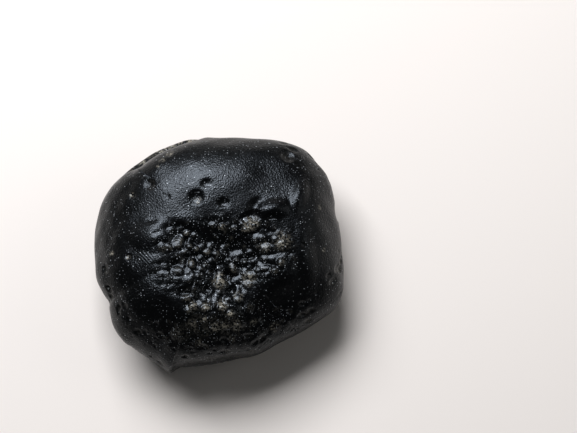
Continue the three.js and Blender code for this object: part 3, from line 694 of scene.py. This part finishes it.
def tektite_glass(settings):
    """Black impact glass, chilled from a splash of melt and then etched by the soil it lay in.

    The glass is opaque black and shines softly, because its skin is covered in etched micro-pits
    0.2 to 0.5 mm across. Pin-point pale specks are painted into its colour, partly dust in some of
    the pits and partly painted glints off the micro-pits. Yellowish clay stays in the larger pits,
    and the same pale colour paints highlights on the tops of the hollow's lumps and at some lit
    spots. The hollow is etched less, so its highlights are tighter.
    """
    material = bpy.data.materials.new("natural_impact_glass_etched")
    material.use_nodes = True
    tree = material.node_tree
    tree.nodes.clear()
    place = add_node(tree, "ShaderNodeTexCoord").outputs["Object"]
    # The clay amount is clay and dust in the pits, and painted highlight on the lumps' tops
    clay_and_highlight, gloss, flow = (
        add_node(tree, "ShaderNodeAttribute", {"attribute_name": name}).outputs["Fac"]
        for name in ("clay_and_highlight", "gloss", "flow")
    )
    # Each pattern's scale is one over its real size in metres
    micro_pits = add_node(
        tree, "ShaderNodeTexVoronoi", {"feature": "SMOOTH_F1"},
        {"Vector": place, "Scale": 1 / (MICRO_PIT * MM), "Smoothness": 0.3})
    specks = add_node(
        tree, "ShaderNodeTexVoronoi", None, {"Vector": place, "Scale": 1 / (SPECK * MM)})
    grain, flecks, patches = (
        add_node(tree, "ShaderNodeTexNoise", None,
                 {"Vector": place, "Scale": 1 / (size * MM), "Detail": detail}).outputs["Fac"]
        for size, detail in ((GRAIN, 3.0), (FLECK, 2.0), (ETCHED_PATCH, 3.0))
    )

    # Specks, partly dust and partly painted glints: a cell has one if its red passes a threshold,
    # its blue says how far it reaches and its green how bright it is, both weighted so that most
    # are small and faint
    cell = add_node(tree, "ShaderNodeSeparateColor", None, {"Color": specks.outputs["Color"]})
    bare = 1 - settings.speck_share
    threshold = add_node(
        tree, "ShaderNodeMapRange", None,
        {"Value": gloss, "To Min": bare, "To Max": bare - HOLLOW_SPECKS}).outputs["Result"]
    picked = add_node(
        tree, "ShaderNodeMath", {"operation": "GREATER_THAN"},
        {0: cell.outputs["Red"], 1: threshold}).outputs[0]
    cubed = add_node(
        tree, "ShaderNodeMath", {"operation": "POWER"},
        {0: cell.outputs["Blue"], 1: 3.0}).outputs[0]
    reach = add_node(
        tree, "ShaderNodeMapRange", None,
        {"Value": cubed, "To Min": SPECK_REACH[0], "To Max": SPECK_REACH[1]}).outputs["Result"]
    near = add_node(
        tree, "ShaderNodeMapRange", {"interpolation_type": "SMOOTHSTEP"},
        {"Value": specks.outputs["Distance"], "From Min": 0.05, "From Max": reach,
         "To Min": 1.0, "To Max": 0.0}).outputs["Result"]
    speck = add_node(
        tree, "ShaderNodeMath", {"operation": "POWER"},
        {0: cell.outputs["Green"], 1: 1.9}).outputs[0]
    for factor in (picked, near):
        speck = add_node(
            tree, "ShaderNodeMath", {"operation": "MULTIPLY"}, {0: speck, 1: factor}).outputs[0]

    # Colour: the glass, then clay broken into flecks, partly painted highlight on the lumps' tops,
    # then the specks, partly painted glints
    broken = add_node(
        tree, "ShaderNodeMapRange", None,
        {"Value": flecks, "From Min": 0.42, "From Max": 0.62}).outputs["Result"]
    clay_and_highlight_here = add_node(
        tree, "ShaderNodeMath", {"operation": "MULTIPLY", "use_clamp": True},
        {0: clay_and_highlight, 1: broken}).outputs[0]
    colour = linear(GLASS_COLOUR)
    for amount, hex_colour in ((clay_and_highlight_here, CLAY_AND_HIGHLIGHT_COLOUR), (speck, DUST_AND_GLINT_COLOUR)):
        colour = add_node(
            tree, "ShaderNodeMix", {"data_type": "RGBA"},
            {0: amount, 6: colour, 7: linear(hex_colour)}).outputs[2]
    glint = add_node(
        tree, "ShaderNodeMath", {"operation": "MULTIPLY"}, {0: speck, 1: SPECK_SHINE}).outputs[0]

    # Roughness: uneven where the glass is etched, and even in the hollow
    etched = add_node(
        tree, "ShaderNodeMapRange", None,
        {"Value": patches, "From Min": 0.3, "From Max": 0.7,
         "To Min": ETCHED_ROUGHNESS[0], "To Max": ETCHED_ROUGHNESS[1]}).outputs["Result"]
    rough = add_node(
        tree, "ShaderNodeMix", None, {0: gloss, 2: etched, 3: SMOOTH_ROUGHNESS}).outputs[0]

    # Bump: micro-pits and grain, weaker where the glass is smooth, then the flow lines, whose
    # wave texture of scale s repeats every 2 pi / (20 s)
    smooth = add_node(
        tree, "ShaderNodeMath", {"operation": "MAXIMUM"}, {0: gloss, 1: flow}).outputs[0]
    etching = add_node(
        tree, "ShaderNodeMapRange", None,
        {"Value": smooth, "To Min": 1.0, "To Max": SMOOTH_ETCHING}).outputs["Result"]
    turned = add_node(
        tree, "ShaderNodeMapping", None,
        {"Vector": place, "Rotation": (0, 0, -math.radians(FLOW_TURN))})
    lines = add_node(
        tree, "ShaderNodeTexWave", None,
        {"Vector": turned.outputs["Vector"], "Scale": math.pi / (10 * FLOW_SPACING * MM),
         "Distortion": 5.0, "Detail": 2.0, "Detail Scale": 0.4})
    bump = add_node(
        tree, "ShaderNodeBump", None,
        {"Height": micro_pits.outputs["Distance"], "Strength": etching,
         "Distance": MICRO_PIT_DEPTH * MM})
    for height, strength, depth in ((grain, etching, GRAIN_DEPTH),
                                    (lines.outputs["Fac"], flow, FLOW_DEPTH)):
        bump = add_node(
            tree, "ShaderNodeBump", None,
            {"Height": height, "Strength": strength, "Distance": depth * MM,
             "Normal": bump.outputs["Normal"]})

    shader = add_node(
        tree, "ShaderNodeBsdfPrincipled", None,
        {"Base Color": colour, "Metallic": glint, "Roughness": rough, "IOR": 1.48,
         "Specular IOR Level": 0.36, "Specular Tint": linear("#f1f9ff"),
         "Normal": bump.outputs["Normal"]})
    add_node(tree, "ShaderNodeOutputMaterial", None, {"Surface": shader.outputs["BSDF"]})
    return material


def painted_board(settings):
    """Matt painted board: pale, even and without shine, with the faint 4 mm grain of its paint."""
    material = bpy.data.materials.new("matt_painted_board")
    material.use_nodes = True
    tree = material.node_tree
    tree.nodes.clear()
    place = add_node(tree, "ShaderNodeTexCoord").outputs["Object"]
    grain = add_node(
        tree, "ShaderNodeTexNoise", None, {"Vector": place, "Scale": 1 / (4 * MM), "Detail": 2.0})
    bump = add_node(
        tree, "ShaderNodeBump", None,
        {"Height": grain.outputs["Fac"], "Strength": 0.05, "Distance": 0.1 * MM})
    shader = add_node(
        tree, "ShaderNodeBsdfPrincipled", None,
        {"Base Color": list(settings.floor_colour) + [1.0], "Roughness": 0.7,
         "Normal": bump.outputs["Normal"]})
    add_node(tree, "ShaderNodeOutputMaterial", None, {"Surface": shader.outputs["BSDF"]})
    return material


# ---- Settings ----


class TektiteStoneSettings(bpy.types.PropertyGroup):
    """Sizes of the stone's fine surface."""

    half_grid_cells: IntProperty(
        name="Half grid cells",
        description="Cells along each side of the underside's grid, half as many as on the top's",
        default=140, min=10, max=140,
    )
    lump_scale: FloatProperty(
        name="Lump scale", description="Scales the height of the hollow's small lumps",
        default=0.9, min=0,
    )
    small_pit_count: IntProperty(
        name="Small pits", description="How many pits under 1.1 mm in radius the sides have",
        default=330, min=0,
    )
    speck_share: FloatProperty(
        name="Speck share", description="Share of the pattern's cells that hold a pale speck",
        default=0.36, min=0, max=1, subtype="FACTOR",
    )


class TektiteStageSettings(bpy.types.PropertyGroup):
    """The floor, the lights and the camera."""

    floor_size: FloatProperty(
        name="Floor size", description="Length of the square floor's side", default=2.4,
        unit="LENGTH",
    )
    floor_colour: FloatVectorProperty(
        name="Floor colour", description="Colour of the painted board", subtype="COLOR",
        default=linear("#e9e1d8")[:3], min=0, max=1,
    )
    key_power: FloatProperty(
        name="Key light", description="Power of the large light behind the stone",
        default=5.2, unit="POWER",
    )
    fill_power: FloatProperty(
        name="Fill light", description="Power of the light on the right",
        default=0.28, unit="POWER",
    )
    camera_rise: FloatProperty(
        name="Camera rise", description="Angle of the camera above level",
        default=VIEW_RISE, subtype="ANGLE",
    )
    camera_distance: FloatProperty(
        name="Camera distance", description="From the camera to the stone",
        default=VIEW_DISTANCE * MM, unit="LENGTH",
    )


# ---- Operators ----


def new_object(name, mesh):
    """Links a mesh object at the origin, unturned and unscaled."""
    piece = bpy.data.objects.new(name, mesh)
    bpy.context.scene.collection.objects.link(piece)
    return piece


class TEKTITE_OT_stone(bpy.types.Operator):
    """Build the stone's fine surface in place of its CAD solid"""

    bl_idname = "tektite.stone"
    bl_label = "Build the stone"

    def execute(self, context):
        settings = context.scene.tektite_stone
        points, faces, amounts = stone_surface(settings)
        mesh = bpy.data.meshes.new("tektite_stone")
        mesh.from_pydata(points.tolist(), [], faces.tolist())
        mesh.polygons.foreach_set("use_smooth", np.ones(len(faces), dtype=bool))
        for name, amount in amounts.items():
            attribute = mesh.attributes.new(name, "FLOAT", "POINT")
            attribute.data.foreach_set("value", amount.astype(np.float32))
        mesh.update()
        stone = new_object("tektite_stone", mesh)
        stone.data.materials.append(tektite_glass(settings))
        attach(stone, "root")
        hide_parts("tektite")
        return {"FINISHED"}


# Area lights: place, breadth and height, colour. They face a point inside the stone.
LIGHTS = {
    "key": ((-0.155, 0.345, 0.485), (0.46, 0.32), "#f2f5fc"),
    "fill": ((0.5, 0.06, 0.3), (0.3, 0.3), "#ffffff"),
}
LIT_POINT = (0, 0, 0.02)
ROOM_COLOUR = "#dfe6ee"
ROOM_STRENGTH = 0.08


def area_light(name, power):
    """One of the rectangular area lights, turned to face the lit point."""
    place, size, colour = LIGHTS[name]
    data = bpy.data.lights.new(name, "AREA")
    data.shape = "RECTANGLE"
    data.size, data.size_y = size
    data.energy = power
    data.color = linear(colour)[:3]
    light = bpy.data.objects.new(name, data)
    light.location = place
    towards = Vector(LIT_POINT) - Vector(place)
    light.rotation_euler = towards.to_track_quat("-Z", "Y").to_euler()
    bpy.context.scene.collection.objects.link(light)


# Where the stone lies in the rendered image, in pixels
IMAGE = (577, 433)
STONE_IN_IMAGE = (218.8, 254.5)     # the middle of the stone's outline
STONE_BREADTH = 250                 # the breadth of the stone's outline
AIM_LEVEL = 0.45                    # of the stone's height, where its outline is widest
NEAREST_SEEN = 0.01


def place_camera(camera, settings):
    """Looks down at the stone so that it has its place and breadth in the image: the lens is
    sensor width x distance / the breadth seen by the image, and the aim is moved aside by the
    stone's offset from the image's middle."""
    low, high = (Vector(corner) for corner in CAD_BOX)
    scale = (high.x - low.x) / STONE_BREADTH
    rise = settings.camera_rise
    back = Vector((0, -math.cos(rise), math.sin(rise)))
    up = Vector((0, math.sin(rise), math.cos(rise)))
    middle = Vector(((low.x + high.x) / 2, (low.y + high.y) / 2, AIM_LEVEL * high.z))
    aside = (IMAGE[0] / 2 - STONE_IN_IMAGE[0]) * scale
    above = (STONE_IN_IMAGE[1] - IMAGE[1] / 2) * scale
    aim = middle + Vector((1, 0, 0)) * aside + up * above
    camera.location = aim + back * settings.camera_distance
    camera.rotation_euler = (-back).to_track_quat("-Z", "Y").to_euler()
    camera.data.lens = camera.data.sensor_width * settings.camera_distance / (IMAGE[0] * scale)
    camera.data.clip_start = NEAREST_SEEN


class TEKTITE_OT_stage(bpy.types.Operator):
    """Build the floor, the lights and the camera"""

    bl_idname = "tektite.stage"
    bl_label = "Build the stage"

    def execute(self, context):
        settings = context.scene.tektite_stage
        half = settings.floor_size / 2
        mesh = bpy.data.meshes.new("floor")
        corners = [(-half, -half, 0), (half, -half, 0), (half, half, 0), (-half, half, 0)]
        mesh.from_pydata(corners, [], [(0, 1, 2, 3)])
        floor = new_object("floor", mesh)
        floor.data.materials.append(painted_board(settings))

        area_light("key", settings.key_power)
        area_light("fill", settings.fill_power)
        world = bpy.data.worlds.new("soft_room")
        world.use_nodes = True
        room = world.node_tree.nodes["Background"]
        room.inputs["Color"].default_value = linear(ROOM_COLOUR)
        room.inputs["Strength"].default_value = ROOM_STRENGTH
        context.scene.world = world

        camera = bpy.data.objects.new("camera", bpy.data.cameras.new("camera"))
        context.scene.collection.objects.link(camera)
        place_camera(camera, settings)
        context.scene.camera = camera
        context.scene.view_settings.view_transform = "Standard"
        context.scene.view_settings.look = "Medium High Contrast"
        return {"FINISHED"}


class TEKTITE_PT_panel(bpy.types.Panel):
    """Shows the stone's and the stage's settings, with a button to build each"""

    bl_idname = "TEKTITE_PT_panel"
    bl_label = "Tektite"
    bl_space_type = "VIEW_3D"
    bl_region_type = "UI"
    bl_category = "Tektite"

    def draw(self, context):
        layout = self.layout
        stone = context.scene.tektite_stone
        layout.prop(stone, "half_grid_cells")
        layout.prop(stone, "lump_scale")
        layout.prop(stone, "small_pit_count")
        layout.prop(stone, "speck_share")
        layout.operator("tektite.stone")
        stage = context.scene.tektite_stage
        layout.prop(stage, "floor_size")
        layout.prop(stage, "floor_colour")
        layout.prop(stage, "key_power")
        layout.prop(stage, "fill_power")
        layout.prop(stage, "camera_rise")
        layout.prop(stage, "camera_distance")
        layout.operator("tektite.stage")


CLASSES = (
    TektiteStoneSettings,
    TektiteStageSettings,
    TEKTITE_OT_stone,
    TEKTITE_OT_stage,
    TEKTITE_PT_panel,
)


def register():
    """Adds the classes and their settings to Blender."""
    for cls in CLASSES:
        bpy.utils.register_class(cls)
    bpy.types.Scene.tektite_stone = PointerProperty(type=TektiteStoneSettings)
    bpy.types.Scene.tektite_stage = PointerProperty(type=TektiteStageSettings)


def unregister():
    """Takes them away again."""
    del bpy.types.Scene.tektite_stage
    del bpy.types.Scene.tektite_stone
    for cls in reversed(CLASSES):
        bpy.utils.unregister_class(cls)


def main():
    register()
    bpy.ops.tektite.stone()
    bpy.ops.tektite.stage()
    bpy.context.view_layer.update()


if __name__ == "__main__":
    main()
